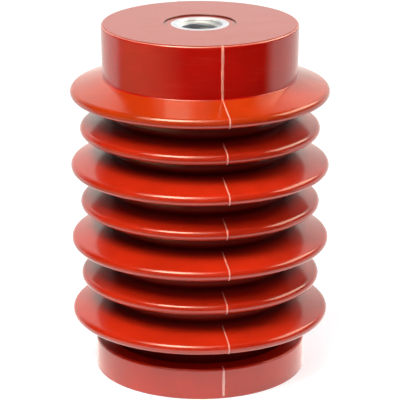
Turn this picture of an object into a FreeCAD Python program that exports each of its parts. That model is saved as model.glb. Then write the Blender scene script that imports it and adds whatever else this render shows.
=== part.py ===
"""Post insulator: a resin casting with seven sheds, cast round two threaded metal inserts.

Millimetres, +Z up. The origin is the centre of the face that the foot stands on.
"""
import FreeCAD, Part
import math
import os
import Sketcher

# The driving dimensions: name, value and meaning. Lengths are in mm and angles in degrees.
SIZES = (
    ("core_diameter", 64.0, "core between the sheds"),
    ("root_radius", 2.0, "fillets where the sheds and the foot meet the core"),
    ("shed_pitch", 13.85, "from the centre of one rim to the next"),
    ("large_sheds", 4, "number of large sheds, with a small one in each gap"),
    ("large_overhang", 15.1, "how far a large shed stands out from the core"),
    ("small_overhang", 11.7, "how far a small shed stands out from the core"),
    ("rim_radius", 2.0, "full round of a rim"),
    ("weather_slope", 19.0, "upper flank of a shed, falling outwards"),
    ("under_slope", 5.0, "lower flank of a shed, rising outwards"),
    ("foot_overhang", 6.7, "how far the foot stands out from the core, at the bottom"),
    ("foot_height", 11.5, "foot, up to its ledge"),
    ("foot_draft", 0.5, "taper of the foot's wall, narrower upwards"),
    ("foot_neck", 10.5, "from the foot's ledge to the centre of the lowest rim"),
    ("foot_edge", 0.8, "rounding of the ledge's edge"),
    ("foot_heel", 0.5, "rounding of the edge it stands on"),
    ("head_overhang", 3.7, "how far the head stands out from the core, at the top"),
    ("head_height", 24.9, "from the centre of the highest rim to the head's face"),
    ("head_draft", 0.9, "taper of the head's wall, narrower downwards"),
    ("head_edge", 1.0, "rounding of the edge of the head's face"),
    ("head_root", 0.6, "fillet where the head meets the highest shed"),
    ("thread_minor", 13.84, "bore of the M16 x 2 thread"),
    ("thread_depth", 26.0, "full bore of the hole, from the insert's face"),
    ("thread_chamfer", 1.38, "countersink at the mouth of the hole"),
    ("drill_point", 118.0, "cone at the bottom of the hole, over its sides"),
    ("insert_recess", 0.45, "how far the insert's face lies behind the resin's"),
    ("recess_margin", 2.5, "how far the round recess in the resin reaches past the insert"),
    ("collar_length", 6.0, "round collar behind that face"),
    ("neck_wall", 2.38, "metal left round the bore in the anchoring groove"),
    ("neck_depth", 1.2, "depth of that groove, whose flanks slope at 45 degrees"),
    ("neck_length", 4.0, "bottom of that groove"),
    ("barrel_flats", 6, "number of flats that keep the insert from turning"),
    ("flat_depth", 0.8, "how deep they are milled"),
    ("end_wall", 5.84, "metal between the tip of the hole and the inner end"),
    ("end_round", 2.5, "rounding of the inner end"),
)

# Radii that follow from them.
CORE = "(Sizes.core_diameter / 2)"
LARGE_SHED = f"({CORE} + Sizes.large_overhang)"
SMALL_SHED = f"({CORE} + Sizes.small_overhang)"
FOOT = f"({CORE} + Sizes.foot_overhang)"
FOOT_TOP = f"({FOOT} - Sizes.foot_height * tan(Sizes.foot_draft * 1 deg))"
HEAD = f"({CORE} + Sizes.head_overhang)"
HEAD_LOW = f"({HEAD} - Sizes.head_height * tan(Sizes.head_draft * 1 deg))"
BORE = "(Sizes.thread_minor / 2)"
MOUTH = f"({BORE} + Sizes.thread_chamfer)"
NECK = f"({BORE} + Sizes.neck_wall)"
COLLAR = f"({NECK} + Sizes.neck_depth)"
RECESS = f"({COLLAR} + Sizes.recess_margin)"

# Heights of the casting, from the foot's face.
LOWEST_RIM = "(Sizes.foot_height + Sizes.foot_neck)"
HIGHEST_RIM = f"({LOWEST_RIM} + 2 * (Sizes.large_sheds - 1) * Sizes.shed_pitch)"
TOTAL_HEIGHT = f"({HIGHEST_RIM} + Sizes.head_height)"

# Depths of an insert, from its own face.
NECK_START = "(Sizes.collar_length + Sizes.neck_depth)"
NECK_END = f"({NECK_START} + Sizes.neck_length)"
BARREL_START = f"({NECK_END} + Sizes.neck_depth)"
HOLE_TIP = f"(Sizes.thread_depth + {BORE} / tan(Sizes.drill_point / 2 * 1 deg))"
INSERT_LENGTH = f"({HOLE_TIP} + Sizes.end_wall)"

# A fillet takes no more than this share of the wall between it and the fillet opposite.
FILLET_SHARE = 0.48


def flank_height(overhang, slope):
    """From a rim's centre to where one flank, drawn on without its fillet, meets the core."""
    at_rim = f"Sizes.rim_radius / cos({slope} * 1 deg)"
    return f"({at_rim} + ({overhang} - Sizes.rim_radius) * tan({slope} * 1 deg))"


ABOVE_LARGE = flank_height("Sizes.large_overhang", "Sizes.weather_slope")
BELOW_LARGE = flank_height("Sizes.large_overhang", "Sizes.under_slope")
BELOW_SMALL = flank_height("Sizes.small_overhang", "Sizes.under_slope")
SHED_ROOT = f"min(Sizes.root_radius; {FILLET_SHARE} * (Sizes.shed_pitch - {ABOVE_LARGE} - {BELOW_SMALL}))"
FOOT_ROOT = f"min(Sizes.root_radius; {FILLET_SHARE} * (Sizes.foot_neck - {BELOW_LARGE}))"

doc = FreeCAD.newDocument("post_insulator")


def write_sizes():
    """Put the driving dimensions into the sheet, one to a row."""
    sheet = doc.addObject("Spreadsheet::Sheet", "Sizes")
    for row, (name, value, meaning) in enumerate(SIZES, start=1):
        sheet.set(f"A{row}", meaning)
        sheet.set(f"B{row}", str(value))
        sheet.setAlias(f"B{row}", name)
    doc.recompute()
    return sheet


sizes = write_sizes()


def value_of(expression):
    """The present value of an expression, as a plain number in mm or degrees."""
    value = sizes.evalExpression(expression)
    return float(getattr(value, "Value", value))


def new_sketch(body, name, role="XZ_Plane"):
    """An empty sketch on one of the body's own origin planes."""
    sketch = body.newObject("Sketcher::SketchObject", name)
    plane = next(item for item in body.Origin.OriginFeatures if item.Role == role)
    sketch.AttachmentSupport = [(plane, "")]
    sketch.MapMode = "FlatFace"
    return sketch


def dimension(sketch, kind, where, expression):
    """Add a dimension to the sketch and bind it to the sheet."""
    value = value_of(expression)
    if kind == "Angle":
        value = math.radians(value)
    index = sketch.addConstraint(Sketcher.Constraint(kind, *where, value))
    sketch.setExpression(f"Constraints[{index}]", expression)


def place_point(sketch, geometry, point, across, up):
    """Place a point by its distances from the sketch's own two axes."""
    for kind, axis, distance in (("DistanceX", -2, across), ("DistanceY", -1, up)):
        if distance == "0":
            sketch.addConstraint(Sketcher.Constraint("PointOnObject", geometry, point, axis))
        else:
            dimension(sketch, kind, (-1, 1, geometry, point), distance)


def draw_polygon(sketch, corners):
    """A closed outline of straight lines. A corner is its two distances, as expressions."""
    points = [FreeCAD.Vector(value_of(across), value_of(up), 0) for across, up in corners]
    for first, second in zip(points, points[1:] + points[:1]):
        sketch.addGeometry(Part.LineSegment(first, second))
    for index, (across, up) in enumerate(corners):
        following = (index + 1) % len(corners)
        sketch.addConstraint(Sketcher.Constraint("Coincident", index, 2, following, 1))
        place_point(sketch, index, 1, across, up)


def turn(body, name, sketch, kind="PartDesign::Revolution"):
    """Turn the sketch once round the axis, to add or to cut."""
    feature = body.newObject(kind, name)
    feature.Profile = sketch
    feature.ReferenceAxis = (sketch, ["V_Axis"])
    feature.Angle = 360
    doc.recompute()
    return feature


def rings(body, radii, heights):
    """Names of the round level edges of the body so far, within a least and a most of each."""
    near = 0.01
    found = []
    for number, edge in enumerate(body.Tip.Shape.Edges, start=1):
        radius = edge.Length / (2 * math.pi)
        height = edge.CenterOfMass.z
        level = edge.Closed and edge.BoundBox.ZLength < near
        wide = radii[0] - near < radius < radii[1] + near
        if level and wide and heights[0] - near < height < heights[1] + near:
            found.append(f"Edge{number}")
    return found


def round_off(body, name, radius, edges):
    """Fillet edges of the body so far."""
    base = body.Tip
    feature = body.newObject("PartDesign::Fillet", name)
    feature.Base = (base, edges)
    feature.setExpression("Radius", radius)
    doc.recompute()


def line(sketch, start, end):
    """Draw a straight line and give its number in the sketch."""
    return sketch.addGeometry(Part.LineSegment(start, end))


def arc(sketch, centre, radius, first_angle, last_angle):
    """Draw an arc, anticlockwise between two angles in radians, and give its number."""
    circle = Part.Circle(centre, FreeCAD.Vector(0, 0, 1), radius)
    return sketch.addGeometry(Part.ArcOfCircle(circle, first_angle, last_angle))


def draw_flank(sketch, rim, rim_centre, slope, side):
    """One side of a shed, from its rim to inside the core. side is 1 above and -1 below.

    A slope runs tangent out of the rim and into the fillet at the core, and a level line
    leads on to where the section of the shed starts, inside the core.
    """
    angle = math.radians(value_of(slope))
    rim_radius, root_radius, core = value_of("Sizes.rim_radius"), value_of(SHED_ROOT), value_of(CORE)
    outward = FreeCAD.Vector(math.sin(angle), side * math.cos(angle), 0)
    downhill = FreeCAD.Vector(math.cos(angle), -side * math.sin(angle), 0)
    root_centre = rim_centre + (rim_radius + root_radius) * outward
    root_centre -= downhill * ((root_centre.x - core - root_radius) / downhill.x)

    flank = line(sketch, root_centre - root_radius * outward, rim_centre + rim_radius * outward)
    if side > 0:
        root = arc(sketch, root_centre, root_radius, math.pi, 1.5 * math.pi - angle)
    else:
        root = arc(sketch, root_centre, root_radius, 0.5 * math.pi + angle, math.pi)
    slope_point = 2 if side > 0 else 1
    core_point = 3 - slope_point
    at_core = FreeCAD.Vector(core, root_centre.y, 0)
    at_start = FreeCAD.Vector(value_of(COLLAR), root_centre.y, 0)
    level = line(sketch, at_core, at_start)

    sketch.addConstraint(Sketcher.Constraint("Tangent", flank, 2, rim, slope_point))
    sketch.addConstraint(Sketcher.Constraint("Tangent", flank, 1, root, slope_point))
    sketch.addConstraint(Sketcher.Constraint("Coincident", root, core_point, level, 1))
    sketch.addConstraint(Sketcher.Constraint("Horizontal", root, 3, root, core_point))
    sketch.addConstraint(Sketcher.Constraint("Horizontal", level))
    dimension(sketch, "Angle", (flank,), f"{-side} * {slope} * 1 deg")
    dimension(sketch, "Radius", (root,), SHED_ROOT)
    dimension(sketch, "DistanceX", (-1, 1, root, 3), f"{CORE} + {SHED_ROOT}")
    return level


def draw_shed(sketch, radius, rim_height):
    """Section of one shed: the full round of its rim between two flanks."""
    rim_radius = value_of("Sizes.rim_radius")
    centre = FreeCAD.Vector(value_of(radius) - rim_radius, value_of(rim_height), 0)
    low_angle = math.radians(value_of("Sizes.under_slope")) - math.pi / 2
    high_angle = math.pi / 2 - math.radians(value_of("Sizes.weather_slope"))
    rim = arc(sketch, centre, rim_radius, low_angle, high_angle)
    dimension(sketch, "Radius", (rim,), "Sizes.rim_radius")
    place_point(sketch, rim, 3, f"{radius} - Sizes.rim_radius", rim_height)
    above = draw_flank(sketch, rim, centre, "Sizes.weather_slope", 1)
    below = draw_flank(sketch, rim, centre, "Sizes.under_slope", -1)
    inside = line(sketch, sketch.getPoint(above, 2), sketch.getPoint(below, 2))
    sketch.addConstraint(Sketcher.Constraint("Coincident", above, 2, inside, 1))
    sketch.addConstraint(Sketcher.Constraint("Coincident", below, 2, inside, 2))
    sketch.addConstraint(Sketcher.Constraint("Vertical", inside))
    dimension(sketch, "DistanceX", (-1, 1, inside, 1), COLLAR)


def add_sheds(body, name, radius, rim_height, number):
    """The lowest shed of one size, and its copies above it at two pitches."""
    sketch = new_sketch(body, f"{name}_section")
    draw_shed(sketch, radius, rim_height)
    shed = turn(body, name, sketch)
    row = body.newObject("PartDesign::LinearPattern", f"{name}_row")
    row.Originals = [shed]
    row.Direction = (sketch, ["V_Axis"])
    row.Mode = "Spacing"
    row.setExpression("Offset", "2 * Sizes.shed_pitch")
    row.setExpression("Occurrences", number)
    body.Tip = row
    doc.recompute()


def round_casting(body):
    """Round the foot and the head. The sheds have their roundings drawn in."""
    core, foot, foot_top, head = (value_of(radius) for radius in (CORE, FOOT, FOOT_TOP, HEAD))
    ledge, face = value_of("Sizes.foot_height"), value_of(TOTAL_HEIGHT)
    head_wall = value_of(HIGHEST_RIM), value_of(f"{TOTAL_HEIGHT} - Sizes.head_edge")
    round_off(body, "foot_root", FOOT_ROOT, rings(body, (core, core), (ledge, ledge)))
    round_off(body, "foot_edge", "Sizes.foot_edge", rings(body, (foot_top, foot_top), (ledge, ledge)))
    round_off(body, "foot_heel", "Sizes.foot_heel", rings(body, (foot, foot), (0, 0)))
    round_off(body, "head_root", "Sizes.head_root", rings(body, (0, head), head_wall))
    round_off(body, "head_edge", "Sizes.head_edge", rings(body, (head, head), (face, face)))


def make_casting():
    """The whole outside in resin: foot, core and head as one post, with the sheds round it."""
    body = doc.addObject("PartDesign::Body", "casting")
    sketch = new_sketch(body, "post_section")
    draw_polygon(sketch, [
        ("0", "0"),
        (FOOT, "0"),
        (FOOT_TOP, "Sizes.foot_height"),
        (CORE, "Sizes.foot_height"),
        (CORE, HIGHEST_RIM),
        (HEAD_LOW, HIGHEST_RIM),
        (HEAD, TOTAL_HEIGHT),
        ("0", TOTAL_HEIGHT),
    ])
    turn(body, "post", sketch)
    add_sheds(body, "large_shed", LARGE_SHED, LOWEST_RIM, "Sizes.large_sheds")
    add_sheds(body, "small_shed", SMALL_SHED, f"{LOWEST_RIM} + Sizes.shed_pitch", "Sizes.large_sheds - 1")
    round_casting(body)
    return body


def mill_flats(body):
    """Flats along the barrel of an insert, from the middle of its groove to its inner end."""
    round_volume = body.Tip.Shape.Volume
    groove_middle = f"({NECK_START} + Sizes.neck_length / 2)"
    sketch = new_sketch(body, f"{body.Name}_flat_outline", "XY_Plane")
    sketch.setExpression("AttachmentOffset.Base.z", groove_middle)
    draw_polygon(sketch, [
        (f"{COLLAR} - Sizes.flat_depth", f"-1 * {COLLAR}"),
        (f"{COLLAR} + Sizes.flat_depth", f"-1 * {COLLAR}"),
        (f"{COLLAR} + Sizes.flat_depth", COLLAR),
        (f"{COLLAR} - Sizes.flat_depth", COLLAR),
    ])
    flat = body.newObject("PartDesign::Pocket", f"{body.Name}_flat")
    flat.Profile = sketch
    flat.Reversed = True
    flat.setExpression("Length", f"{INSERT_LENGTH} - {groove_middle}")
    flats = body.newObject("PartDesign::PolarPattern", f"{body.Name}_flats")
    flats.Originals = [flat]
    flats.Axis = (sketch, ["N_Axis"])
    flats.Angle = 360
    flats.setExpression("Occurrences", "Sizes.barrel_flats")
    body.Tip = flats
    doc.recompute()
    if body.Tip.Shape.Volume >= round_volume:
        raise RuntimeError(f"{body.Name}: the flats cut nothing")


def make_blank(name, front=(("0", "0"),)):
    """The outside of an insert, from its face to its inner end on top.

    front holds the corners that come before the collar's, from the axis outwards.
    """
    body = doc.addObject("PartDesign::Body", name)
    sketch = new_sketch(body, f"{name}_section")
    draw_polygon(sketch, [
        *front,
        (COLLAR, "0"),
        (COLLAR, "Sizes.collar_length"),
        (NECK, NECK_START),
        (NECK, NECK_END),
        (COLLAR, BARREL_START),
        (COLLAR, INSERT_LENGTH),
        ("0", INSERT_LENGTH),
    ])
    turn(body, f"{name}_turned", sketch)
    collar, length = value_of(COLLAR), value_of(INSERT_LENGTH)
    round_off(body, f"{name}_end", "Sizes.end_round", rings(body, (collar, collar), (length, length)))
    mill_flats(body)
    return body


def drill_hole(body):
    """The blind hole, as wide as the bore of its thread."""
    blank_volume = body.Tip.Shape.Volume
    sketch = new_sketch(body, f"{body.Name}_hole_section")
    draw_polygon(sketch, [
        ("0", "0"),
        (MOUTH, "0"),
        (BORE, "Sizes.thread_chamfer"),
        (BORE, "Sizes.thread_depth"),
        ("0", HOLE_TIP),
    ])
    turn(body, f"{body.Name}_hole", sketch, "PartDesign::Groove")
    if body.Tip.Shape.Volume >= blank_volume:
        raise RuntimeError(f"{body.Name}: the hole cuts nothing")


def seat(body, in_head):
    """Put an insert or its cavity in its place: as drawn in the foot, turned over in the head."""
    if in_head:
        body.Placement = FreeCAD.Placement(FreeCAD.Vector(), FreeCAD.Rotation(FreeCAD.Vector(1, 0, 0), 180))
        body.setExpression("Placement.Base.z", f"{TOTAL_HEIGHT} - Sizes.insert_recess")
    else:
        body.setExpression("Placement.Base.z", "Sizes.insert_recess")


def make_insert(name, in_head):
    """A threaded insert, cast into one end of the post."""
    body = make_blank(name)
    drill_hole(body)
    seat(body, in_head)
    return body


def cut_cavity(resin, name, in_head):
    """Take the room of one insert out of the resin, with the wider recess in front of it."""
    outside = "-2 * Sizes.insert_recess"
    cavity = make_blank(f"{name}_cavity", [("0", outside), (RECESS, outside), (RECESS, "0")])
    seat(cavity, in_head)
    cut = doc.addObject("Part::Cut", f"resin_round_{name}")
    cut.Base = resin
    cut.Tool = cavity
    doc.recompute()
    return cut


def check(parts):
    """Stop if any object has failed, or if a part isn't one sound solid."""
    for item in doc.Objects:
        if "Invalid" in item.State or "Error" in item.State:
            raise RuntimeError(f"{item.Label} failed: {item.State}")
    for part in parts:
        shape = part.Shape
        if shape.isNull() or not shape.isValid() or len(shape.Solids) != 1:
            raise RuntimeError(f"{part.Label} isn't one sound solid")


inserts = [make_insert("top_insert", True), make_insert("base_insert", False)]
resin = make_casting()
resin = cut_cavity(resin, "top_insert", True)
resin = cut_cavity(resin, "base_insert", False)
resin.Label = "resin_body"
doc.recompute()

parts = [resin] + inserts
check(parts)
os.makedirs("parts", exist_ok=True)
for part in parts:
    part.Shape.exportStep(f"parts/{part.Label}.step")
    print(part.Label, round(part.Shape.Volume / 1000, 2), "cm3")
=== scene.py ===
"""Looks of a cast-resin post insulator: glossy casting, mould line and threaded inserts.

Metres, +Z up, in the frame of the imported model. Every piece stands at the origin, and its
place is in its mesh.
"""
import math

import bpy
from bpy.props import FloatProperty, FloatVectorProperty, IntProperty, PointerProperty
from bpy.types import Operator, Panel, PropertyGroup
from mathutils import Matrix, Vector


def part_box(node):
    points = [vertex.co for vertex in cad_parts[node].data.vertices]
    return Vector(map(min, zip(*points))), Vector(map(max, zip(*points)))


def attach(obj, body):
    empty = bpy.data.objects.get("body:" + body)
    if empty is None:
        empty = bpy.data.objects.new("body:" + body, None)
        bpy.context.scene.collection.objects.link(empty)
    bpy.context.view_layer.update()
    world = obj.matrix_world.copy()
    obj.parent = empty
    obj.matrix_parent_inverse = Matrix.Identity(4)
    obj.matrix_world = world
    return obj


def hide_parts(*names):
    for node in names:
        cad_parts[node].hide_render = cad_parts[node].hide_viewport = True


bl_info = {
    "name": "Post Insulator",
    "version": (1, 0, 0),
    "blender": (4, 5, 0),
    "location": "3D View > Sidebar > Insulator",
    "description": "Dresses the solids of a cast-resin post insulator and lights them",
    "category": "Add Mesh",
}

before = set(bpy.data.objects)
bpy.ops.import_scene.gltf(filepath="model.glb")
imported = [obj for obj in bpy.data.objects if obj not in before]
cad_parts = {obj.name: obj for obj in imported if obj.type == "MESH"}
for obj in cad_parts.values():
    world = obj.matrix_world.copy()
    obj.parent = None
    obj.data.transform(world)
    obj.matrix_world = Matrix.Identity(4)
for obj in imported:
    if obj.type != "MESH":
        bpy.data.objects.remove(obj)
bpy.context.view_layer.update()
HEAD_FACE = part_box("resin_body")[1].z
INSERT_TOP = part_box("top_insert")[1].z
INSERT_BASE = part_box("base_insert")[0].z
INSERT_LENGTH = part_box("base_insert")[1].z - INSERT_BASE
# A place within this distance of a face counts as on it.
SKIN = 0.0002
# Faces that meet at more than this leave a sharp edge, on a large piece and on the fine ridge.
SHARP_FOLD = math.radians(25.0)
RIDGE_FOLD = math.radians(60.0)
DRILL_POINT = math.radians(118.0)
# The room is dark in front and paler to the left. The front of the object is azimuth 0.
DARK_SIDE = math.radians(-9.0)
PALE_SIDE = math.radians(-74.0)


def kind_of_setting(**kind):
    """A maker of settings of one kind, which a user may change and which are never below zero."""
    def setting(name, description, default):
        return FloatProperty(name=name, description=description, default=default, min=0.0, **kind)
    return setting


length = kind_of_setting(unit="LENGTH", precision=5)
focal_length = kind_of_setting(unit="CAMERA")
watts = kind_of_setting(unit="POWER")
share = kind_of_setting(subtype="FACTOR", max=1.0)
brightness = kind_of_setting()


def angle(name, description, degrees):
    """An angle that a user may change, given in degrees."""
    return FloatProperty(name=name, description=description, default=math.radians(degrees),
                         unit="ROTATION")


def colour(name, description, default):
    """A colour that a user may change."""
    return FloatVectorProperty(name=name, description=description, default=default, size=3,
                               min=0.0, max=1.0, subtype="COLOR")


def count(name, description, default, least):
    """A whole number that a user may change."""
    return IntProperty(name=name, description=description, default=default, min=least)


class CastingSettings(PropertyGroup):
    """Sizes and finish of the resin casting."""
    core_radius: length("Core Radius", "Radius of the core between the sheds", 0.032)
    root_radius: length("Root Radius", "Fillet where a shed meets the core", 0.002)
    shed_pitch: length("Shed Pitch", "From the centre of one rim to the next", 0.01385)
    sheds: count("Sheds", "Sheds in all, large and small in turn", 7, 1)
    lowest_rim: length("Lowest Rim", "Height of the centre of the lowest rim", 0.022)
    large_overhang: length("Large Overhang", "How far a large shed stands out from the core", 0.0151)
    small_overhang: length("Small Overhang", "How far a small shed stands out from the core", 0.0117)
    rim_radius: length("Rim Radius", "Full round of a rim", 0.002)
    weather_slope: angle("Weather Slope", "Upper flank of a shed", 19.0)
    under_slope: angle("Under Slope", "Lower flank of a shed", 5.0)
    foot_overhang: length("Foot Overhang", "How far the foot stands out from the core", 0.0067)
    foot_height: length("Foot Height", "Height of the foot's ledge", 0.0115)
    foot_draft: angle("Foot Draft", "Taper of the foot's wall", 0.5)
    foot_edge: length("Foot Edge", "Rounding of the ledge's edge", 0.0008)
    foot_heel: length("Foot Heel", "Rounding of the edge that the foot stands on", 0.0005)
    head_overhang: length("Head Overhang", "How far the head stands out from the core", 0.0037)
    head_draft: angle("Head Draft", "Taper of the head's wall", 0.9)
    head_edge: length("Head Edge", "Rounding of the edge of the head's face", 0.001)
    head_root: length("Head Root", "Fillet between the head and the highest shed", 0.0006)
    recess_radius: length("Recess Radius", "Round recess in the resin in front of an insert", 0.013)
    recess_edge: length("Recess Edge", "Rounding of the edge of that recess", 0.00025)
    segments: count("Segments", "Steps round the casting", 160, 12)
    rounding_steps: count("Rounding Steps", "Steps in each rounded corner", 7, 1)
    # Painted shade: the head takes a darker, more crimson copy of the sheds' red, for the shade its wall
    # shows.
    head_painted_shade: colour("Head Painted Shade", "Resin at the head", (0.46, 0.0045, 0.0012))
    shed_colour: colour("Shed Colour", "Resin at the sheds", (0.52, 0.023, 0.006))
    # Painted shade and light: the highest shed's top is less red, for the extra light it takes, and
    # yellower, as a brightly lit flank looks.
    top_shed_painted_tone: colour("Top Shed Painted Tone", "Resin on top of the highest shed", (0.47, 0.038, 0.004))
    # Painted light: the foot takes a lighter red, for the light the floor throws back on it.
    foot_painted_light: colour("Foot Painted Light", "Resin at the foot", (0.62, 0.023, 0.006))
    streak_colour: colour("Streak Colour", "Resin in the flow marks", (0.58, 0.030, 0.012))
    # Painted shade: the flat end faces and the recess's floor take a darker, duller red, to hold down the
    # light the lamps put on them.
    face_painted_shade: colour("Face Painted Shade", "Resin on the end faces and in the recess", (0.30, 0.014, 0.004))
    # Painted shade: the recess's wall is dark, for the shade inside the recess.
    recess_wall_painted_shade: colour("Recess Wall Painted Shade", "Resin on the recess's wall", (0.10, 0.028, 0.022))
    # Painted highlight: a pale line along the edge of the head's face, for the light its rounding catches.
    edge_painted_highlight: colour("Edge Painted Highlight", "Resin along the worn edge of the head's face", (0.60, 0.22, 0.20))
    # Painted shade: the resin is painted dark deep between the sheds, for the shade that falls there.
    valley_painted_shade: colour("Valley Painted Shade", "Resin deep between the sheds", (0.075, 0.003, 0.003))
    resin_gloss: share("Resin Roughness", "Roughness of the moulded surface", 0.13)
    flank_roughness: share("Flank Roughness", "Roughness of the flanks between the rims", 0.20)
    mottle: share("Mottle", "How much the resin's colour varies", 0.16)
    streaks: share("Streaks", "How strongly the flow marks show", 0.35)
    # How much painted shade the valleys take, how far out it reaches, and its part on the core's wall.
    valley_shade: share("Valley Shade", "How much darker the resin is deep between the sheds", 0.92)
    valley_depth: length("Valley Depth", "How far out from the core that shade reaches", 0.0080)
    low_wall_shade: share("Low Wall Shade", "Part of it on the core's wall at the lowest rim", 0.10)
    high_wall_shade: share("High Wall Shade", "Part of it on the core's wall at the highest rim", 0.50)


class LineSettings(PropertyGroup):
    """The fine ridge that the mould's parting plane leaves."""
    azimuth: angle("Azimuth", "How far the line stands to the right of the front", 12.8)
    width: length("Width", "Thickness of the ridge's round section, most of it sunk in the resin", 0.0015)
    height: length("Height", "How far the ridge stands out of the resin", 0.00018)
    thinning: share("Thinning", "How much thinner the section is on the sheds and the face", 0.58)
    wander: length("Wander", "How far the ridge wanders to the sides", 0.0004)
    face_reach: length("Face Reach", "How far the ridge runs in over the head's face", 0.0012)
    valley_gap: length("Valley Gap", "From the core to where the ridge comes out of a shed", 0.003)
    line_colour: colour("Line Colour", "Trimmed ridge", (0.92, 0.36, 0.32))
    foot_line_colour: colour("Foot Line Colour", "Trimmed ridge on the foot", (1.0, 0.56, 0.56))
    # Painted shade: the ridge darkens deep between the sheds, as the resin does.
    deep_line_painted_shade: colour("Deep Line Painted Shade", "Ridge deep between the sheds", (0.02, 0.0, 0.0))


class InsertSettings(PropertyGroup):
    """Sizes and finish of the threaded inserts."""
    collar_radius: length("Collar Radius", "Radius of the collar and of the barrel", 0.0105)
    collar_length: length("Collar Length", "Length of the collar behind the face", 0.006)
    neck_radius: length("Neck Radius", "Radius of the anchoring groove", 0.0093)
    neck_length: length("Neck Length", "Bottom of the anchoring groove", 0.004)
    end_round: length("End Round", "Rounding of the inner end", 0.0025)
    flat_distance: length("Flat Distance", "From the axis to a flat of the barrel", 0.0097)
    thread_pitch: length("Thread Pitch", "From one turn of the thread to the next", 0.002)
    thread_minor: length("Thread Minor", "Radius of the thread's crests", 0.00692)
    thread_height: length("Thread Height", "From the crests to the bottom of the groove", 0.00108)
    thread_chamfer: length("Thread Chamfer", "Countersink at the mouth of the hole", 0.00138)
    thread_depth: length("Thread Depth", "Full bore of the hole", 0.026)
    run_out: length("Run Out", "Plain bore below the thread", 0.004)
    segments: count("Segments", "Steps round an insert", 120, 12)
    rounding_steps: count("Rounding Steps", "Steps in each rounded corner", 7, 1)
    metal_colour: colour("Metal Colour", "Turned metal", (0.82, 0.88, 1.0))
    # Painted shade: the metal darkens down the hole, most on its left, for the shade there.
    hole_painted_shade: colour("Hole Painted Shade", "Metal where it is oily, down the hole", (0.03, 0.018, 0.012))
    metal_roughness: share("Metal Roughness", "Roughness of the turned metal", 0.30)


class StageSettings(PropertyGroup):
    """Floor, light and camera."""
    floor_size: length("Floor Size", "Side of the floor", 12.0)
    floor_colour: colour("Floor Colour", "Paper under the object", (0.66, 0.76, 1.0))
    paper_forward: length("Paper Forward", "From the object forward to the middle of the paper", 0.08)
    paper_reach: length("Paper Reach", "From the middle of the paper to where it has faded out", 0.30)
    table_colour: colour("Table Colour", "Table that the paper fades into", (0.22, 0.25, 0.31))
    camera_distance: length("Camera Distance", "From the axis to the camera, level", 0.80059)
    camera_height: length("Camera Height", "Height of the camera above the floor", 0.32035)
    camera_pitch: angle("Camera Pitch", "How far the camera looks down", 17.815)
    camera_lens: focal_length("Lens", "Focal length in millimetres", 205.77)
    key_power: watts("Key Power", "Power of the three softboxes at the left front, together", 14.2)
    fill_power: watts("Fill Power", "Power of the softbox at the right", 6.0)
    front_power: watts("Front Power", "Power of the large dim softbox in front", 0.6)
    top_power: watts("Top Power", "Power of the softbox overhead", 0.4)
    lamp_colour: colour("Lamp Colour", "Softboxes", (1.0, 0.87, 0.64))
    room_colour: colour("Room Colour", "Backdrop and far floor as the object shows them", (1.0, 0.95, 0.88))
    side_colour: colour("Side Colour", "Floor by the side wall as the object shows it", (1.0, 0.84, 0.45))
    room_light: brightness("Room Light", "Brightness of the far floor as the object shows it", 1.25)
    near_light: brightness("Near Light", "Brightness of the near floor as the object shows it", 1.8)
    backdrop: brightness("Backdrop", "Brightness of the backdrop as the object shows it", 1.15)


class Field:
    """A value in a node tree. Arithmetic on it adds Math nodes."""

    def __init__(self, socket):
        self.tree, self.socket = socket.id_data, socket

    def maths(self, operation, *others):
        """The result of a Math node on this value and the others."""
        made = self.tree.nodes.new("ShaderNodeMath")
        made.operation = operation
        for socket, given in zip(made.inputs, (self, *others)):
            plug(socket, given)
        return Field(made.outputs[0])

    def __add__(self, other):
        return self.maths("ADD", other)

    def __sub__(self, other):
        return self.maths("SUBTRACT", other)

    def __rsub__(self, other):
        return (self * -1.0) + other

    def __mul__(self, other):
        return self.maths("MULTIPLY", other)

    def __truediv__(self, other):
        return self.maths("DIVIDE", other)

    __radd__, __rmul__ = __add__, __mul__

    def __gt__(self, other):
        return self.maths("GREATER_THAN", other)

    def __lt__(self, other):
        return self.maths("LESS_THAN", other)

    def clamp(self, low, high):
        """The value held between two others."""
        return self.maths("MAXIMUM", low).maths("MINIMUM", high)


def plug(socket, given):
    """Give an input a value, or link it to another node's output. Nothing leaves it as it is."""
    if isinstance(given, Field):
        given = given.socket
    if isinstance(given, bpy.types.NodeSocket):
        socket.id_data.links.new(given, socket)
    elif given is not None:
        socket.default_value = given


def node(tree, kind, *given, **settings):
    """Add a node, set it up, and fill the inputs that it then shows, in order."""
    made = tree.nodes.new(kind)
    for name, value in settings.items():
        setattr(made, name, value)
    for socket, value in zip([s for s in made.inputs if s.enabled], given):
        plug(socket, value)
    return made


def fill(made, inputs):
    """Fill a node's inputs by their names."""
    for name, value in inputs.items():
        plug(made.inputs[name], value)


def result(tree, kind, *given, **settings):
    """Add a node and give the first output that it shows, as a field."""
    made = node(tree, kind, *given, **settings)
    return Field(next(s for s in made.outputs if s.enabled))


def combine(tree, across, along, height):
    """A vector of three values."""
    return result(tree, "ShaderNodeCombineXYZ", across, along, height)


def axes(place):
    """The X, Y and Z of a place."""
    split = node(place.tree, "ShaderNodeSeparateXYZ", place)
    return [Field(split.outputs[name]) for name in "XYZ"]


def level_distance(across, along):
    """How far a place lies from an upright line, by its X and Y from that line."""
    return (across * across + along * along).maths("SQRT")


def noise(place, scale, detail=2.0, roughness=0.5):
    """A noise texture's factor. The scale is in patches to the metre."""
    made = node(place.tree, "ShaderNodeTexNoise")
    fill(made, {"Vector": place, "Scale": scale, "Detail": detail, "Roughness": roughness})
    return Field(made.outputs["Fac"])


def remap(value, low, high, to_low, to_high):
    """Map a value from one range to another, and hold it there."""
    made = node(value.tree, "ShaderNodeMapRange", value, low, high, to_low, to_high, clamp=True)
    return Field(made.outputs[0])


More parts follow.
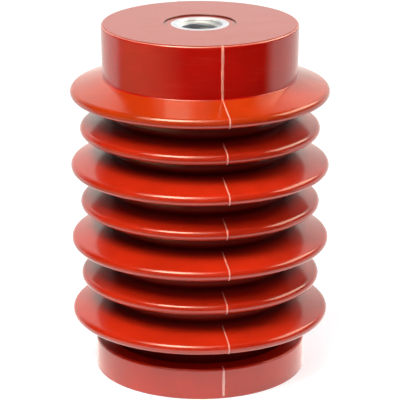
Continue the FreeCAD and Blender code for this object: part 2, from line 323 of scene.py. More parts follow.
def blend_colours(factor, first, second):
    """Mix two colours."""
    made = node(factor.tree, "ShaderNodeMix", data_type="RGBA", factor_mode="UNIFORM")
    plug(made.inputs["Factor"], factor)
    for socket, given in zip([s for s in made.inputs if s.enabled and s.type == "RGBA"], (first, second)):
        plug(socket, given if isinstance(given, Field) else (*given, 1.0))
    return Field(next(s for s in made.outputs if s.enabled and s.type == "RGBA"))


def label_of(name):
    """The label of a setting or a group, such as Thread Pitch for thread_pitch."""
    return name.replace("_", " ").title()


def sizes(settings, *names):
    """Settings, by the labels of the tree inputs that take them."""
    return {label_of(name): getattr(settings, name) for name in names}


KINDS = {float: "NodeSocketFloat", int: "NodeSocketInt", bool: "NodeSocketBool"}


def new_tree(name, inputs, material=False):
    """A geometry tree with a geometry input, named inputs with their values, and one output."""
    tree = bpy.data.node_groups.new(name, "GeometryNodeTree")
    tree.interface.new_socket("Geometry", in_out="INPUT", socket_type="NodeSocketGeometry")
    for label, value in inputs.items():
        socket = tree.interface.new_socket(label, in_out="INPUT", socket_type=KINDS[type(value)])
        socket.default_value = value
    if material:
        tree.interface.new_socket("Material", in_out="INPUT", socket_type="NodeSocketMaterial")
    tree.interface.new_socket("Geometry", in_out="OUTPUT", socket_type="NodeSocketGeometry")
    source = tree.nodes.new("NodeGroupInput")
    fields = {socket.name: Field(socket) for socket in source.outputs if socket.name}
    return tree, fields


def end_tree(tree, geometry, material=None):
    """Finish a tree. With a material, realise the instances and set it first."""
    if material is not None:
        geometry = result(tree, "GeometryNodeRealizeInstances", geometry)
        geometry = result(tree, "GeometryNodeSetMaterial", geometry, None, material)
    output = tree.nodes.new("NodeGroupOutput")
    plug(output.inputs[0], geometry)
    return tree


def use_group(tree, build, geometry, fields):
    """Add a shared group, built on first use, and fill its inputs with the fields of their labels."""
    made = tree.nodes.new("GeometryNodeGroup")
    made.node_tree = bpy.data.node_groups.get(label_of(build.__name__)) or build()
    for socket in made.inputs:
        plug(socket, geometry if socket.type == "GEOMETRY" else fields.get(socket.name))
    return Field(made.outputs[0])


def join(tree, *parts):
    """Join geometries into one."""
    made = tree.nodes.new("GeometryNodeJoinGeometry")
    for part in parts:
        tree.links.new(part.socket, made.inputs[0])
    return Field(made.outputs[0])


def sample(geometry, value, index, kind):
    """A geometry's value at an index."""
    return result(geometry.tree, "GeometryNodeSampleIndex", geometry, value, index, data_type=kind)


def rounded_outline():
    """A polyline of corners, each with its own rounding, made a rounded outline."""
    tree, given = new_tree("Rounded Outline", {"Rounding Steps": 7})
    curve = result(tree, "GeometryNodeMeshToCurve", given["Geometry"])
    rounding = result(tree, "GeometryNodeInputNamedAttribute", "rounding", data_type="FLOAT")
    rounded = result(tree, "GeometryNodeFilletCurve", curve, given["Rounding Steps"], rounding, True,
                     mode="POLY")
    return end_tree(tree, rounded)


def post_outline():
    """The whole outline of the post: the end corners that are given, and every shed between them.

    A shed has four corners: its lower root, both sides of its rim, and its upper root. The
    lowest shed's lower root is the last of the foot's corners, so the sheds add one corner less.
    """
    tree, given = new_tree("Post Outline", post_values(bpy.context.scene.insulator_casting, 1))
    ends = given["Geometry"]
    end_count = result(tree, "GeometryNodeAttributeDomainSize", ends, component="MESH")
    shed_count = given["Sheds"] * 4.0 - 1.0
    line = result(tree, "GeometryNodeMeshLine", end_count + shed_count, mode="OFFSET")

    index = result(tree, "GeometryNodeInputIndex")
    step = index - given["Foot Corners"]
    past = step > shed_count - 0.5
    between = (step > -0.5) * (1.0 - past)
    shed = (step / 4.0).maths("FLOOR")
    corner = step - shed * 4.0
    small = shed.maths("MODULO", 2.0)
    above = corner > 1.5
    at_rim = (corner - 1.5).maths("ABSOLUTE") < 1.0

    overhang = given["Large Overhang"] + (given["Small Overhang"] - given["Large Overhang"]) * small
    slope = given["Under Slope"] + (given["Weather Slope"] - given["Under Slope"]) * above
    run = overhang * (1.0 - at_rim) - given["Rim Radius"]
    rise = given["Rim Radius"] / slope.maths("COSINE") + run * slope.maths("TANGENT")
    height = given["Lowest Rim"] + shed * given["Shed Pitch"] + rise * (above * 2.0 - 1.0)
    radius = given["Core Radius"] + overhang * at_rim
    rounding = given["Root Radius"] + (given["Rim Radius"] - given["Root Radius"]) * at_rim

    end_index = index - past * shed_count
    end_place = sample(ends, result(tree, "GeometryNodeInputPosition"), end_index, "FLOAT_VECTOR")
    end_rounding = result(tree, "GeometryNodeInputNamedAttribute", "rounding", data_type="FLOAT")
    end_rounding = sample(ends, end_rounding, end_index, "FLOAT")
    drawn = combine(tree, radius, 0.0, height)
    place = result(tree, "GeometryNodeSwitch", between, end_place, drawn, input_type="VECTOR")
    rounding = result(tree, "GeometryNodeSwitch", between, end_rounding, rounding, input_type="FLOAT")
    marked = result(tree, "GeometryNodeStoreNamedAttribute", line, None, "rounding", rounding,
                    data_type="FLOAT", domain="POINT")
    placed = result(tree, "GeometryNodeSetPosition", marked, None, place)
    return end_tree(tree, use_group(tree, rounded_outline, placed, given))


def wrapping_grid(tree, segments, rows):
    """A grid to wrap round Z, and each point's row, column and angle round Z."""
    grid = result(tree, "GeometryNodeMeshGrid", 1.0, 1.0, segments + 1.0, rows)
    index = result(tree, "GeometryNodeInputIndex")
    column = ((index + 0.5) / rows).maths("FLOOR")
    row = index - column * rows
    return grid, row, column, column.maths("MODULO", segments) / segments * math.tau


def wrap(grid, radius, height, around):
    """Place a grid's points round Z."""
    place = combine(grid.tree, radius * around.maths("COSINE"), radius * around.maths("SINE"), height)
    return result(grid.tree, "GeometryNodeSetPosition", grid, None, place)


def turned_surface():
    """An outline in the XZ plane, turned once round Z into a closed surface."""
    tree, given = new_tree("Turned Surface", {"Segments": 160})
    outline = given["Geometry"]
    rows = result(tree, "GeometryNodeAttributeDomainSize", outline, component="CURVE")
    grid, row, _, around = wrapping_grid(tree, given["Segments"], rows)
    place = sample(outline, result(tree, "GeometryNodeInputPosition"), row, "FLOAT_VECTOR")
    radius, _, height = axes(place)
    return end_tree(tree, wrap(grid, radius, height, around))


def finished_surface():
    """Points that coincide are welded, and only real edges stay sharp."""
    tree, given = new_tree("Finished Surface", {"Sharp Angle": SHARP_FOLD, "Flip": False})
    welded = result(tree, "GeometryNodeMergeByDistance", given["Geometry"], None, 1e-6)
    flipped = result(tree, "GeometryNodeFlipFaces", welded, given["Flip"])
    smooth = result(tree, "GeometryNodeSetShadeSmooth", flipped, None, True, domain="FACE")
    sharp = result(tree, "GeometryNodeInputMeshEdgeAngle") > given["Sharp Angle"]
    return end_tree(tree, result(tree, "GeometryNodeSetShadeSmooth", smooth, sharp, False, domain="EDGE"))


def mould_line():
    """A fine ridge up one side of an outline, and another opposite it, thinner along the sheds."""
    scene = bpy.context.scene
    tree, given = new_tree("Mould Line", ridge_values(scene.insulator_line, scene.insulator_casting))
    # The ridge starts in a valley with a thin tip, sunk in the resin, and is flatter at the face's edge.
    step, tip_length, dive_length, edge_length = 0.0006, 0.005, 0.0012, 0.0008
    tip_loss, dive_depth, edge_loss, calm = 0.65, 0.0008, 0.8, 0.6
    stepped = result(tree, "GeometryNodeResampleCurve", given["Geometry"], None, step, mode="LENGTH")
    position = result(tree, "GeometryNodeInputPosition")
    radius, _, height = axes(position)
    face, valley_radius = given["Face Height"], given["Valley Radius"]
    on_face = height > face
    outside = (radius > given["Inner Radius"]) * (height > given["Lowest"])
    outside = outside * (1.0 - on_face * (radius < given["Face Radius"]))
    kept = result(tree, "GeometryNodeSeparateGeometry", stepped, outside, domain="POINT")

    thin = ((height > given["Sheds From"]) * (height < given["Sheds To"])).maths("MAXIMUM", on_face)
    valley = thin * (1.0 - on_face)
    tip = 1.0 - valley * remap(radius, valley_radius, valley_radius + tip_length, tip_loss, 0.0)
    buried = valley * remap(radius, valley_radius, valley_radius + dive_length, dive_depth, 0.0)
    at_edge = remap(height, face - edge_length, face, 0.0, edge_loss)
    uneven = noise(position, scale=380.0) * 0.5 + 0.75
    half = tip * given["Width"] * 0.5 * (1.0 - thin * given["Thinning"]) * uneven

    tangent = result(tree, "GeometryNodeInputTangent")
    inward = result(tree, "ShaderNodeVectorMath", tangent, (0.0, 1.0, 0.0), operation="CROSS_PRODUCT")
    sunk = node(tree, "ShaderNodeVectorMath", inward, operation="SCALE")
    plug(sunk.inputs["Scale"], half + buried - given["Height"] * (1.0 - at_edge))
    aside = noise(position, scale=130.0, detail=3.0) - 0.5
    aside = aside * given["Wander"] * (1.0 - thin * calm)
    shift = result(tree, "ShaderNodeVectorMath", sunk.outputs[0], combine(tree, 0.0, aside, 0.0),
                   operation="ADD")
    path = result(tree, "GeometryNodeSetPosition", kept, None, None, shift)
    section = result(tree, "GeometryNodeCurvePrimitiveCircle", 12, mode="RADIUS")
    plug(section.socket.node.inputs["Radius"], 1.0)
    ridge = result(tree, "GeometryNodeCurveToMesh", path, section, half, True)
    sides = []
    for half_turn in (0.0, math.pi):
        around = given["Azimuth"] + (half_turn - math.pi / 2)
        turned = node(tree, "GeometryNodeTransform", ridge)
        plug(turned.inputs["Rotation"], combine(tree, 0.0, 0.0, around))
        sides.append(Field(turned.outputs[0]))
    return end_tree(tree, join(tree, *sides))


HOLE_SIZES = ("thread_pitch", "thread_minor", "thread_height", "thread_chamfer", "thread_depth",
              "run_out", "segments")


def threaded_hole():
    """A blind hole with a real right-hand thread, a countersink and a drill point.

    A turn of the thread has four corners: both ends of its crest, then both of its groove.
    """
    tree, given = new_tree("Threaded Hole", sizes(bpy.context.scene.insulator_insert, *HOLE_SIZES))
    pitch, minor = given["Thread Pitch"], given["Thread Minor"]
    depth, segments = given["Thread Depth"], given["Segments"]
    crest_share, flank_share, root_share = 0.25, 0.3125, 0.125
    turns = (depth / pitch).maths("CEIL") + 2.0
    rows = turns * 4.0 + 2.0
    grid, row, column, around = wrapping_grid(tree, segments, rows)
    turn = ((row + 0.5) / 4.0).maths("FLOOR")
    corner = row - turn * 4.0
    phase = (corner > 0.5) * crest_share + (corner > 1.5) * flank_share + (corner > 2.5) * root_share
    height = ((turn + phase + column / segments - 1.0) * pitch).clamp(0.0, depth)
    fade = ((depth - given["Run Out"] - height) / pitch).clamp(0.0, 1.0)
    thread = minor + given["Thread Height"] * (corner > 1.5) * fade
    radius = thread.maths("MAXIMUM", minor + given["Thread Chamfer"] - height)
    at_tip = row > rows - 1.5
    height = height + at_tip * minor / math.tan(DRILL_POINT / 2)
    return end_tree(tree, wrap(grid, radius * (1.0 - at_tip), height, around))


def milled_flats():
    """Six flats milled along the barrel of an insert."""
    tree, given = new_tree("Milled Flats", {"Flat Distance": 0.0, "Flats From": 0.0})
    across, along, height = axes(result(tree, "GeometryNodeInputPosition"))
    half_flat = math.pi / 6
    from_flat = along.maths("ARCTAN2", across).maths("WRAP", -half_flat, half_flat)
    reach = (level_distance(across, along) * from_flat.maths("COSINE")).maths("MAXIMUM", 1e-6)
    shrink = (given["Flat Distance"] / reach).maths("MINIMUM", 1.0)
    shrink = 1.0 + (shrink - 1.0) * (height > given["Flats From"])
    moved = combine(tree, across * shrink, along * shrink, height)
    return end_tree(tree, result(tree, "GeometryNodeSetPosition", given["Geometry"], None, moved))


def highest_rim(casting):
    """The height of the centre of the highest rim."""
    return casting.lowest_rim + (casting.sheds - 1) * casting.shed_pitch


def head_base(casting):
    """The height where the head rises out of the highest shed."""
    run = casting.large_overhang - casting.rim_radius - casting.head_overhang
    rise = casting.rim_radius / math.cos(casting.weather_slope) + run * math.tan(casting.weather_slope)
    return highest_rim(casting) + rise


def new_material(name, **constants):
    """A material with a Principled shader whose plain sockets are set, and its Object coordinates."""
    material = bpy.data.materials.new(name)
    material.use_nodes = True
    tree = material.node_tree
    shader = tree.nodes["Principled BSDF"]
    for label, value in constants.items():
        shader.inputs[label].default_value = value
    place = Field(tree.nodes.new("ShaderNodeTexCoord").outputs["Object"])
    return material, tree, shader, place


def add_bump(tree, shader, *layers):
    """Lay bumps over each other. A layer is its height and its distance in metres."""
    normal = None
    for height, distance in layers:
        made = node(tree, "ShaderNodeBump")
        fill(made, {"Strength": 1.0, "Distance": distance, "Height": height, "Normal": normal})
        normal = Field(made.outputs["Normal"])
    plug(shader.inputs["Normal"], normal)


def valley_shade(radius, height, casting):
    """How much painted shade a place takes for lying deep between the sheds, from 0 to the full shade.

    The core's wall takes only a part of it, least at the lowest rim.
    """
    core, top = casting.core_radius, highest_rim(casting)
    full_within, wall_within = 0.0025, 0.0015
    deep = remap(radius, core + full_within, core + casting.valley_depth, casting.valley_shade, 0.0)
    painted_wall_shade = remap(height, casting.lowest_rim, top, casting.low_wall_shade, casting.high_wall_shade)
    wall = remap(radius, core + SKIN, core + wall_within, painted_wall_shade, 1.0)
    deep = deep * wall.maths("MAXIMUM", height < casting.lowest_rim)
    return deep * (height > casting.foot_height + SKIN) * (height < top)


def resin_paint(place, radius, height, flow, casting):
    """The resin's colour by height, with its mottle and flow marks, and painted light and shade.

    The head, the faces and the recess's wall are painted darker, the foot lighter, the highest shed's top
    in its own tone, and the face's edge with a highlight.
    """
    base, recess = head_base(casting), casting.recess_radius
    # Painted shade: a darker red at the head than at the sheds.
    paint = blend_colours(height < base, casting.head_painted_shade, casting.shed_colour)
    # Painted shade and light on top of the highest shed.
    on_top_shed = (height > highest_rim(casting)) * (height < base)
    paint = blend_colours(on_top_shed, paint, casting.top_shed_painted_tone)
    # Painted light: a lighter red at the foot.
    paint = blend_colours(height < casting.foot_height, paint, casting.foot_painted_light)
    cloud = noise(place, scale=55.0, detail=4.0, roughness=0.6)
    cloud = remap(cloud, 0.35, 0.65, casting.mottle, 0.0)
    paint = blend_colours(cloud, paint, (0.0, 0.0, 0.0))
    streak = remap(flow, 0.55, 0.75, 0.0, casting.streaks)
    paint = blend_colours(streak, paint, casting.streak_colour)

    in_recess = (radius < recess + SKIN) * (height > casting.head_edge)
    on_face = (height > HEAD_FACE - SKIN).maths("MAXIMUM", height < SKIN).maths("MAXIMUM", in_recess)
    # Painted shade on the flat end faces and in the recess.
    paint = blend_colours(on_face * (1.0 - cloud), paint, casting.face_painted_shade)
    # Painted shade on the recess's wall and on the edge of its floor next to it.
    wall_fade, wall_strength = 0.0012, 0.85
    painted_wall_shade = remap(radius, recess - wall_fade, recess - SKIN / 2, 0.0, wall_strength)
    paint = blend_colours(in_recess * painted_wall_shade, paint, casting.recess_wall_painted_shade)
    # Painted highlight along the edge of the head's face.
    on_edge = (height > HEAD_FACE - casting.head_edge * 0.5) * (1.0 - on_face)
    return blend_colours(on_edge, paint, casting.edge_painted_highlight)


def resin_reflection(radius, height, shade, casting):
    """How much the resin reflects: little at the sheds' roots and just above the foot, where the painted
    shade also cuts the reflection.
    """
    core, full = casting.core_radius, 0.5
    root_within, flank_from, wall_within = 0.0005, 0.0045, 0.0012
    flank = remap(radius, core + root_within, core + flank_from, 0.0, full)
    wall = remap(radius, core + SKIN, core + wall_within, full, 0.0)
    shiny = flank.maths("MAXIMUM", wall) * (height > casting.lowest_rim)
    # The reflection falls away as the valleys' painted shade deepens: painted shade on the gloss as well.
    lit = 1.0 - shade
    return (lit * lit * full).maths("MAXIMUM", shiny)


def resin_roughness(height, grain, flow, casting):
    """Uneven as moulded, and a little duller on the flanks of all sheds but the highest."""
    low, pitch = casting.resin_gloss, casting.shed_pitch
    rim_end, flank_start = casting.rim_radius * 0.95, casting.rim_radius * 1.4
    gloss = remap(grain * 0.4 + flow * 0.6, 0.35, 0.7, low * 0.8, low * 1.7)
    over_rim = (height - casting.lowest_rim).maths("MODULO", pitch)
    flank = remap(over_rim, rim_end, flank_start, 0.0, 1.0) * (height < highest_rim(casting))
    flank = flank * remap(over_rim, pitch - flank_start, pitch - rim_end, 1.0, 0.0)
    return gloss + (casting.flank_roughness - gloss) * flank


def resin_material(casting):
    """Glossy filled epoxy: a faint mottle, flow marks round the head and a slight orange peel, with painted
    light and shade.
    """
    material, tree, shader, place = new_material("cast_resin", IOR=1.62)
    across, along, height = axes(place)
    radius = level_distance(across, along)
    stretched = node(tree, "ShaderNodeMapping")
    fill(stretched, {"Vector": place, "Scale": (1.0, 1.0, 9.0)})
    flow = noise(Field(stretched.outputs[0]), scale=70.0, detail=5.0, roughness=0.65)
    waves = noise(place, scale=95.0, detail=1.0)
    peel = noise(place, scale=420.0)
    grain = noise(place, scale=900.0, detail=3.0)
    shade = valley_shade(radius, height, casting)
    paint = resin_paint(place, radius, height, flow, casting)
    # Painted shade deep between the sheds darkens the paint and cuts the reflection.
    fill(shader, {
        "Base Color": blend_colours(shade, paint, casting.valley_painted_shade),
        "Specular IOR Level": resin_reflection(radius, height, shade, casting),
        "Roughness": resin_roughness(height, grain, flow, casting),
    })
    add_bump(tree, shader, (waves, 0.00006), (peel, 0.000006), (grain, 0.000002))
    return material


def line_material(line, casting):
    """The trimmed ridge: paler and duller than the resin, uneven, palest on the foot, and painted dark deep
    between the sheds like the resin.
    """
    material, tree, shader, place = new_material("trimmed_ridge", IOR=1.55)
    across, along, height = axes(place)
    uneven = remap(noise(place, scale=260.0, detail=3.0), 0.35, 0.65, 0.0, 1.0)
    darker = tuple(channel * 0.75 for channel in line.line_colour)
    paint = blend_colours(uneven, darker, line.line_colour)
    paint = blend_colours(height < casting.foot_height, paint, line.foot_line_colour)
    # Painted shade deep between the sheds, the same as on the resin.
    shade = valley_shade(level_distance(across, along), height, casting)
    fill(shader, {
        "Base Color": blend_colours(shade, paint, line.deep_line_painted_shade),
        "Roughness": remap(uneven, 0.0, 1.0, 0.32, 0.5),
    })
    add_bump(tree, shader, (noise(place, scale=1500.0), 0.00001))
    return material


def metal_material(insert):
    """Turned aluminium: fine rings round the axis, and painted shade down the hole, most on its left."""
    material, tree, shader, place = new_material("turned_metal", Metallic=1.0)
    across, along, height = axes(place)
    radius = level_distance(across, along)
    rings = noise(combine(tree, radius, height, 0.0), scale=2600.0, detail=3.0, roughness=0.6)
    wear = noise(place, scale=240.0, detail=3.0)
    worn = tuple(channel * 0.88 for channel in insert.metal_colour)
    metal = blend_colours(remap(wear, 0.4, 0.7, 0.0, 1.0), insert.metal_colour, worn)

    middle = (INSERT_TOP + INSERT_BASE) / 2
    depth = INSERT_TOP - middle - (height - middle).maths("ABSOLUTE")
    in_hole = radius < insert.thread_minor + insert.thread_height + SKIN / 2
    # Painted shade down the hole, darkest on its left.
    shade_from, shade_full = insert.thread_pitch * 1.35, insert.thread_pitch * 1.65
    most_shade = remap(across, -0.003, 0.002, 0.92, 0.55)
    shaded = remap(depth, shade_from, shade_full, 0.0, most_shade) * in_hole

    low = insert.metal_roughness
    turned = remap(rings, 0.3, 0.7, low * 0.7, low * 1.5)
    in_mouth = radius < insert.thread_minor + insert.thread_chamfer
    fill(shader, {
        "Base Color": blend_colours(shaded, metal, insert.hole_painted_shade),
        "Roughness": turned * (1.0 + in_mouth * 0.6),
    })
    add_bump(tree, shader, (rings, 0.000008), (wear, 0.000004))
    return material


def add_object(name, data):
    """A new object in the scene."""
    made = bpy.data.objects.new(name, data)
    bpy.context.scene.collection.objects.link(made)
    return made


def corner_chain(name, corners):
    """A polyline of corners (radius, height, rounding) that carries each corner's rounding."""
    mesh = bpy.data.meshes.new(name)
    edges = [(index, index + 1) for index in range(len(corners) - 1)]
    mesh.from_pydata([(radius, 0.0, height) for radius, height, _ in corners], edges, [])
    rounding = mesh.attributes.new("rounding", "FLOAT", "POINT")
    rounding.data.foreach_set("value", [corner[2] for corner in corners])
    return add_object(name, mesh)


def cavity_corners(insert):
    """Outside of an insert from its face to its inner end: radius, depth and rounding."""
    collar, neck = insert.collar_radius, insert.neck_radius
    neck_start = insert.collar_length + (collar - neck)
    neck_end = neck_start + insert.neck_length
    return [
        (collar, 0.0, 0.0),
        (collar, insert.collar_length, 0.0),
        (neck, neck_start, 0.0),
        (neck, neck_end, 0.0),
        (collar, neck_end + (collar - neck), 0.0),
        (collar, INSERT_LENGTH, insert.end_round),
        (0.0, INSERT_LENGTH, 0.0),
    ]


def post_corners(casting, insert):
    """Corners of the post below its sheds and above them, with the cavities of both inserts."""
    cavity = cavity_corners(insert)
    core, recess = casting.core_radius, casting.recess_radius
    foot = core + casting.foot_overhang
    foot_top = foot - casting.foot_height * math.tan(casting.foot_draft)
    below = [(radius, INSERT_BASE + depth, rounding) for radius, depth, rounding in reversed(cavity)]
    below += [
        (recess, INSERT_BASE, 0.0),
        (recess, 0.0, casting.recess_edge),
        (foot, 0.0, casting.foot_heel),
        (foot_top, casting.foot_height, casting.foot_edge),
        (core, casting.foot_height, casting.root_radius),
    ]
    head = core + casting.head_overhang
    draft, fall = math.tan(casting.head_draft), math.tan(casting.weather_slope)
    rim_centre = core + casting.large_overhang - casting.rim_radius
    over_rim = highest_rim(casting) + casting.rim_radius / math.cos(casting.weather_slope)
    meeting = (head - draft * (HEAD_FACE - over_rim - rim_centre * fall)) / (1.0 + fall * draft)
    above = [
        (meeting, HEAD_FACE - (head - meeting) / draft, casting.head_root),
        (head, HEAD_FACE, casting.head_edge),
        (recess, HEAD_FACE, casting.recess_edge),
        (recess, INSERT_TOP, 0.0),
    ]
    above += [(radius, INSERT_TOP - depth, rounding) for radius, depth, rounding in cavity]
    return below, above


def post_values(casting, foot_corners):
    """What the post's outline needs, by the names of its inputs."""
    return {"Foot Corners": foot_corners, **sizes(
        casting, "sheds", "shed_pitch", "lowest_rim", "core_radius", "large_overhang", "small_overhang",
        "rim_radius", "root_radius", "weather_slope", "under_slope", "rounding_steps")}


def ridge_values(line, casting):
    """What the mould line needs, by the names of its inputs."""
    return {
        **sizes(line, "azimuth", "width", "height", "thinning", "wander"),
        "Inner Radius": casting.core_radius - casting.root_radius,
        "Valley Radius": casting.core_radius + line.valley_gap,
        "Lowest": casting.foot_heel,
        "Sheds From": casting.foot_height - casting.foot_edge,
        "Sheds To": head_base(casting),
        "Face Height": HEAD_FACE - SKIN / 2,
        "Face Radius": casting.core_radius + casting.head_overhang - line.face_reach,
    }


def bake(piece, tree, values, body, name):
    """Run a tree on a drawn piece, keep the result as a plain mesh, and let it ride on a body."""
    modifier = piece.modifiers.new("Shape", "NODES")
    modifier.node_group = tree
    for item in tree.interface.items_tree:
        if item.in_out == "INPUT" and item.name in values:
            modifier[item.identifier] = values[item.name]
    weighted = piece.modifiers.new("Even Shading", "WEIGHTED_NORMAL")
    weighted.keep_sharp = True
    graph = bpy.context.evaluated_depsgraph_get()
    mesh = bpy.data.meshes.new_from_object(piece.evaluated_get(graph), depsgraph=graph)
    bpy.data.objects.remove(piece)
    if not mesh.polygons:
        raise RuntimeError(f"{name}: the tree made no faces")
    for attribute in [a for a in mesh.attributes if a.name == "rounding"]:
        mesh.attributes.remove(attribute)
    mesh.name = name
    made = add_object(name, mesh)
    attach(made, body)
    return made


def bake_post_piece(scene, name, shape, own_values, fold, flip, material):
    """Bake a piece that follows the outline of the whole post. A shared group gives its shape."""
    casting = scene.insulator_casting
    below, above = post_corners(casting, scene.insulator_insert)
    values = {**post_values(casting, len(below)), **own_values}
    tree, given = new_tree(f"{label_of(name)} Piece", values, material=True)
    surface = use_group(tree, post_outline, given["Geometry"], given)
    surface = use_group(tree, shape, surface, given)
    surface = use_group(tree, finished_surface, surface, {"Sharp Angle": fold, "Flip": flip})
    end_tree(tree, surface, given["Material"])
    chain = corner_chain(f"{name}_corners", below + above)
    return bake(chain, tree, {**values, "Material": material}, "root", name)


class INSULATOR_OT_cast_resin(Operator):
    """Cast the head, the core, the sheds and the foot in one piece of resin"""
    bl_idname = "insulator.cast_resin"
    bl_label = "Cast Resin"

    def execute(self, context):
        casting = context.scene.insulator_casting
        made = bake_post_piece(context.scene, "resin_casting", turned_surface,
                               {"Segments": casting.segments}, SHARP_FOLD, True, resin_material(casting))
        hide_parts("resin_body")
        return {"FINISHED"}


class INSULATOR_OT_trim_line(Operator):
    """Leave the trimmed ridge of the mould's parting plane on both sides of the casting"""
    bl_idname = "insulator.trim_line"
    bl_label = "Trim Mould Line"

    def execute(self, context):
        casting, line = context.scene.insulator_casting, context.scene.insulator_line
        made = bake_post_piece(context.scene, "mould_line", mould_line,
                               ridge_values(line, casting), RIDGE_FOLD, False, line_material(line, casting))
        return {"FINISHED"}


class INSULATOR_OT_thread_inserts(Operator):
    """Turn both metal inserts, mill their flats and cut their threads"""
    bl_idname = "insulator.thread_inserts"
    bl_label = "Thread Inserts"

    def execute(self, context):
        insert = context.scene.insulator_insert
        neck_start = insert.collar_length + insert.collar_radius - insert.neck_radius
        values = {
            **sizes(insert, *HOLE_SIZES, "flat_distance", "rounding_steps"),
            "Flats From": neck_start + insert.neck_length / 2, "Face Height": 0.0, "Turned Over": False,
        }
        tree, given = new_tree("Threaded Insert", values, material=True)
        outside = use_group(tree, rounded_outline, given["Geometry"], given)
        outside = use_group(tree, turned_surface, outside, given)
        outside = use_group(tree, milled_flats, outside, given)
        surface = join(tree, outside, use_group(tree, threaded_hole, None, given))
        surface = use_group(tree, finished_surface, surface, {"Sharp Angle": SHARP_FOLD, "Flip": False})
        placed = node(tree, "GeometryNodeTransform", surface)
        fill(placed, {
            "Translation": combine(tree, 0.0, 0.0, given["Face Height"]),
            "Rotation": combine(tree, given["Turned Over"] * math.pi, 0.0, 0.0),
        })
        end_tree(tree, Field(placed.outputs[0]), given["Material"])
        values["Material"] = metal_material(insert)
        mouth = insert.thread_minor + insert.thread_chamfer
        corners = [(mouth, 0.0, 0.0), *cavity_corners(insert)]
        for node_name, name, face, over in (
            ("top_insert", "head_insert", INSERT_TOP, True),
            ("base_insert", "foot_insert", INSERT_BASE, False),
        ):
            own = {**values, "Face Height": face, "Turned Over": over}
            made = bake(corner_chain(f"{name}_corners", corners), tree, own, "root", name)
            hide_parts(node_name)
        return {"FINISHED"}


def softbox(name, power, tint, size, azimuth, elevation, distance):
    """A soft rectangular lamp that looks at the middle of the object, its angles in degrees."""
    data = bpy.data.lights.new(name, "AREA")
    data.shape = "RECTANGLE"
    data.energy = power
    data.color = tint
    data.size, data.size_y = size
    made = add_object(name, data)
    around, up = math.radians(azimuth), math.radians(elevation)
    level = distance * math.cos(up)
    height = HEAD_FACE / 2 + distance * math.sin(up)
    made.location = (level * math.sin(around), -level * math.cos(around), height)
    made.rotation_euler = (math.pi / 2 - up, 0.0, around)


def toward(across, along, away, azimuth):
    """How far a place on the floor lies toward an azimuth, from -1 to 1."""
    return (across * math.sin(azimuth) - along * math.cos(azimuth)) / away


def floor_material(stage):
    """A pale sheet of paper that fades into a darker table. The camera sees all of it as white.

    What the glossy object shows of it is bright close by and behind, and dimmer to the left.
    """
    material, tree, shader, place = new_material("pale_paper", Roughness=0.9)
    across, along, _ = axes(place)
    sheet = level_distance(across, along + stage.paper_forward)
    sheet = remap(sheet, stage.paper_reach * 0.6, stage.paper_reach, 1.0, 0.0)
    fibres = remap(noise(place, scale=700.0, detail=3.0), 0.3, 0.7, 0.96, 1.0)
    paint = blend_colours(sheet * fibres, stage.table_colour, stage.floor_colour)
    plug(shader.inputs["Base Color"], paint)
    path = tree.nodes.new("ShaderNodeLightPath")
    white = node(tree, "ShaderNodeEmission")
    seen = Field(path.outputs["Is Camera Ray"])
    plug(white.inputs["Strength"], seen * (0.96 - sheet * 0.4))
    shown = node(tree, "ShaderNodeAddShader", shader.outputs[0], white.outputs[0])

    away = level_distance(across, along)
    near = remap(away, 0.10, 0.18, stage.near_light, 0.0)
    behind = remap(toward(across, along, away, DARK_SIDE), -0.20, 0.05, stage.room_light, 0.0)
    beside = remap(toward(across, along, away, PALE_SIDE), 0.55, 0.99, 0.0, stage.room_light * 0.55)
    bright = near.maths("MAXIMUM", behind)
    tint = blend_colours(bright.maths("MINIMUM", 1.0), stage.side_colour, stage.room_colour)
    card = node(tree, "ShaderNodeEmission")
    fill(card, {"Color": tint, "Strength": bright.maths("MAXIMUM", beside)})
    mixed = node(tree, "ShaderNodeMixShader", path.outputs["Is Glossy Ray"], shown.outputs[0],
                 card.outputs[0])
    plug(tree.nodes["Material Output"].inputs["Surface"], mixed.outputs[0])
    return material


def build_room(stage):
    """A white backdrop behind the object and a dark room before it. The camera sees only white."""
    world = bpy.data.worlds.new("studio")
    bpy.context.scene.world = world
    world.use_nodes = True
    tree = world.node_tree
    tree.nodes.clear()
    path = tree.nodes.new("ShaderNodeLightPath")
    _, ahead, up = axes(Field(tree.nodes.new("ShaderNodeTexCoord").outputs["Generated"]))
    back = remap(ahead, 0.40, 0.75, 0.0, 1.0)
    low = remap(up, 0.55, 0.75, 1.0, 0.3)
    dark_room = 0.02
    strength = back * low * stage.backdrop + dark_room
    seen = Field(path.outputs["Is Camera Ray"])
    sky = node(tree, "ShaderNodeBackground")
    tint = blend_colours(seen, stage.room_colour, (1.0, 1.0, 1.0))
    fill(sky, {"Color": tint, "Strength": seen + (1.0 - seen) * strength})
    output = tree.nodes.new("ShaderNodeOutputWorld")
    tree.links.new(sky.outputs[0], output.inputs["Surface"])


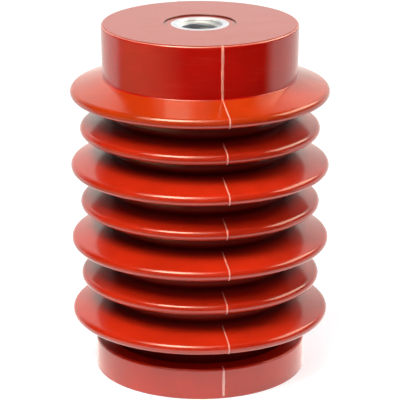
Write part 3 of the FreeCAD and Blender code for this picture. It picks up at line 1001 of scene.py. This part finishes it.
class INSULATOR_OT_set_stage(Operator):
    """Lay the pale floor, hang the soft lights and place the camera"""
    bl_idname = "insulator.set_stage"
    bl_label = "Set Stage"

    def execute(self, context):
        scene, stage = context.scene, context.scene.insulator_stage
        half = stage.floor_size / 2
        corners = [(-half, -half, 0.0), (half, -half, 0.0), (half, half, 0.0), (-half, half, 0.0)]
        mesh = bpy.data.meshes.new("floor")
        mesh.from_pydata(corners, [], [(0, 1, 2, 3)])
        mesh.materials.append(floor_material(stage))
        floor = add_object("floor", mesh)
        build_room(stage)
        for name, power, size, azimuth, elevation, distance in (
            ("key", stage.key_power * 0.40, (0.95, 0.70), -29, 58, 1.00),
            ("key_middle", stage.key_power * 0.35, (0.50, 0.60), -32, 58, 0.98),
            ("key_core", stage.key_power * 0.25, (0.35, 0.42), -34, 58, 0.96),
            ("fill", stage.fill_power, (0.90, 0.42), 105, 34, 1.00),
            ("front", stage.front_power, (1.40, 0.50), -15, 32, 1.00),
            ("overhead", stage.top_power, (0.80, 0.40), 15, 76, 1.00),
        ):
            softbox(name, power, stage.lamp_colour, size, azimuth, elevation, distance)
        data = bpy.data.cameras.new("camera")
        data.lens, data.sensor_width = stage.camera_lens, 36.0
        data.clip_start, data.clip_end = 0.01, 50.0
        camera = add_object("camera", data)
        camera.location = (0.0, -stage.camera_distance, stage.camera_height)
        camera.rotation_euler = (math.pi / 2 - stage.camera_pitch, 0.0, 0.0)
        scene.camera = camera
        scene.view_settings.view_transform = "Standard"
        return {"FINISHED"}


PIECE_OPERATORS = (INSULATOR_OT_cast_resin, INSULATOR_OT_trim_line, INSULATOR_OT_thread_inserts,
                   INSULATOR_OT_set_stage)


class INSULATOR_PT_sidebar(Panel):
    """Lists the pieces of the insulator and its stage"""
    bl_idname = "INSULATOR_PT_sidebar"
    bl_label = "Post Insulator"
    bl_space_type = "VIEW_3D"
    bl_region_type = "UI"
    bl_category = "Insulator"

    def draw(self, context):
        for operator in PIECE_OPERATORS:
            self.layout.operator(operator.bl_idname)


SETTINGS = {
    "insulator_casting": CastingSettings,
    "insulator_line": LineSettings,
    "insulator_insert": InsertSettings,
    "insulator_stage": StageSettings,
}
CLASSES = (*SETTINGS.values(), *PIECE_OPERATORS, INSULATOR_PT_sidebar)


def register():
    for cls in CLASSES:
        bpy.utils.register_class(cls)
    for name, group in SETTINGS.items():
        setattr(bpy.types.Scene, name, PointerProperty(type=group))


def unregister():
    for name in SETTINGS:
        delattr(bpy.types.Scene, name)
    for cls in reversed(CLASSES):
        bpy.utils.unregister_class(cls)


def main():
    register()
    bpy.ops.insulator.cast_resin()
    bpy.ops.insulator.trim_line()
    bpy.ops.insulator.thread_inserts()
    bpy.ops.insulator.set_stage()


if __name__ == "__main__":
    main()
